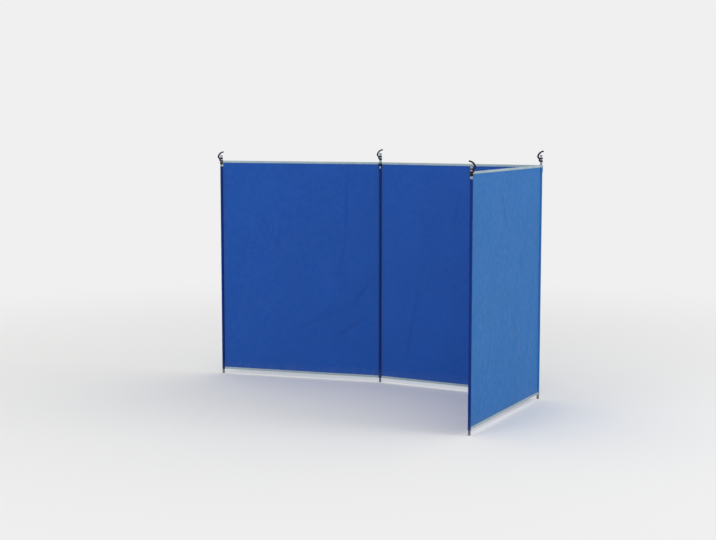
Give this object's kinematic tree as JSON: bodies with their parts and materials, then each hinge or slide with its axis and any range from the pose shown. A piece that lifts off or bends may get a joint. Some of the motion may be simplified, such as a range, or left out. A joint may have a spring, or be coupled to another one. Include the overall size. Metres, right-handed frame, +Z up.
{
  "type": "beach windbreak",
  "caption": "Folding fabric windbreak: tall sheets in bays between steel ground poles, with moulded hook clips at the pole tops; the outer bays swing.",
  "frame": {"origin": "foot of the second pole from the left, at ground level", "axes": "+X along the middle bay to the third pole, +Y to the windward side, +Z up the poles"},
  "size_m": [2.4414, 1.203, 1.6237],
  "materials": {
    "sheet": "woven polyester",
    "tape": "ribbed binding tape",
    "sleeve": "woven polyester",
    "steel": "galvanised",
    "clip": "moulded nylon",
    "collar": "moulded rubber"
  },
  "bodies": {
    "left_bay": {"panel_left": "sheet", "top_binding_left": "tape", "bottom_binding_left": "tape", "pole_1": "steel", "ground_spike_1": "steel", "sleeve_1": "sleeve", "stop_ring_1": "collar", "hook_clip_1": "clip"},
    "middle_bay": {"panel_middle": "sheet", "top_binding_middle": "tape", "bottom_binding_middle": "tape", "pole_2": "steel", "ground_spike_2": "steel", "sleeve_2": "sleeve", "sheet_wrap_2": "sheet", "stop_ring_2": "collar", "hook_clip_2": "clip", "pole_3": "steel", "ground_spike_3": "steel", "sleeve_3": "sleeve", "sheet_wrap_3": "sheet", "stop_ring_3": "collar", "hook_clip_3": "clip"},
    "right_bay": {"panel_right": "sheet", "top_binding_right": "tape", "bottom_binding_right": "tape", "pole_4": "steel", "ground_spike_4": "steel", "sleeve_4": "sleeve", "stop_ring_4": "collar", "hook_clip_4": "clip"}
  },
  "joints": [
    {"name": "left_fold", "type": "hinge", "parent": "middle_bay", "child": "left_bay", "pos_m": [0, 0, 0], "axis": [0, 0, 1], "range_deg": [-172.2, 77.8]},
    {"name": "right_fold", "type": "hinge", "parent": "middle_bay", "child": "right_bay", "pos_m": [1.18, 0, 0], "axis": [0, 0, 1], "range_deg": [-72.8, 177.2]}
  ]
}
